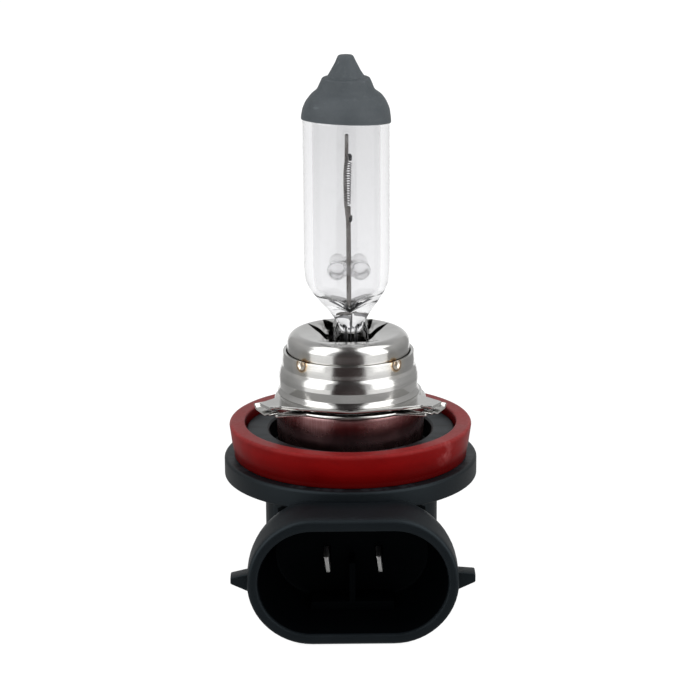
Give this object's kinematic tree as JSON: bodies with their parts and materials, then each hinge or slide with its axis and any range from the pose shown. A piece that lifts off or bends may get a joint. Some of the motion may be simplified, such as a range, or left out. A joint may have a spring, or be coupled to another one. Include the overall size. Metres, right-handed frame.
{
  "type": "headlight bulb",
  "caption": "Right-angle halogen headlight bulb: clear glass tube with a painted tip, steel bayonet base with spring leaves, red seal ring and a black two-blade plug socket.",
  "frame": {"origin": "on the axis of the glass, in the reference plane, which is the top face of the lug plate that the lampholder locates", "axes": "+Z along the glass towards its tip, -Y the way the plug socket points, +X to the right when the socket faces the viewer"},
  "size_m": [0.0312, 0.0356, 0.067],
  "materials": {
    "clear_glass": "clear fused quartz, polished",
    "tip_paint": "matte slate-grey heat-proof paint",
    "tungsten": "dull drawn tungsten",
    "lead_wire": "grey drawn molybdenum wire",
    "clamp_metal": "darkened crimped metal",
    "seal_foil": "thin matt foil",
    "bright_steel": "bright drawn stainless steel",
    "spring_steel": "bright rolled spring steel",
    "satin_steel": "satin, finely drawn along the axis",
    "weld_steel": "heat-tinted weld metal",
    "red_rubber": "satin moulded silicone",
    "black_plastic": "finely grained moulded black plastic",
    "tinned_blade": "bright tinned"
  },
  "bodies": {
    "bulb": {"glass_envelope": "clear_glass", "tip_coating": "tip_paint", "filament_coil": "tungsten", "support_lead": "lead_wire", "short_lead": "lead_wire", "upper_clamp": "clamp_metal", "lower_clamp": "clamp_metal", "quartz_bridge": "clear_glass", "foil_front": "seal_foil", "foil_rear": "seal_foil", "outer_lead_front": "lead_wire", "outer_lead_rear": "lead_wire", "collar_cup": "bright_steel", "seal_clip": "spring_steel", "focus_sleeve": "bright_steel", "weld_spot_1": "weld_steel", "weld_spot_2": "weld_steel", "weld_spot_3": "weld_steel", "weld_spot_4": "weld_steel", "lug_plate": "bright_steel", "spring_ring": "spring_steel", "neck_sleeve": "satin_steel", "cap_body": "black_plastic", "blade_left": "tinned_blade", "blade_right": "tinned_blade"},
    "seal": {"gasket": "red_rubber"},
    "leaf_left": {"spring_leaf_left": "spring_steel"},
    "leaf_right": {"spring_leaf_right": "spring_steel"},
    "leaf_rear": {"spring_leaf_rear": "spring_steel"}
  },
  "joints": [
    {"name": "gasket_pull_off", "type": "slide", "parent": "bulb", "child": "seal", "axis": [0, 0, 1], "range_m": [0, 0.05]},
    {"name": "leaf_left_flex", "type": "hinge", "parent": "bulb", "child": "leaf_left", "pos_m": [-0.0091, -0.00746, -0.0009], "axis": [0.8387, 0.5446, 0], "range_deg": [0, 4], "stiffness_Nm_per_rad": 0.05},
    {"name": "leaf_right_flex", "type": "hinge", "parent": "bulb", "child": "leaf_right", "pos_m": [0.0091, -0.00746, -0.0009], "axis": [0.8387, -0.5446, 0], "range_deg": [0, 4], "stiffness_Nm_per_rad": 0.05},
    {"name": "leaf_rear_flex", "type": "hinge", "parent": "bulb", "child": "leaf_rear", "pos_m": [-0.0013, 0.0117, -0.0009], "axis": [0, -1, 0], "range_deg": [0, 4], "stiffness_Nm_per_rad": 0.05}
  ]
}
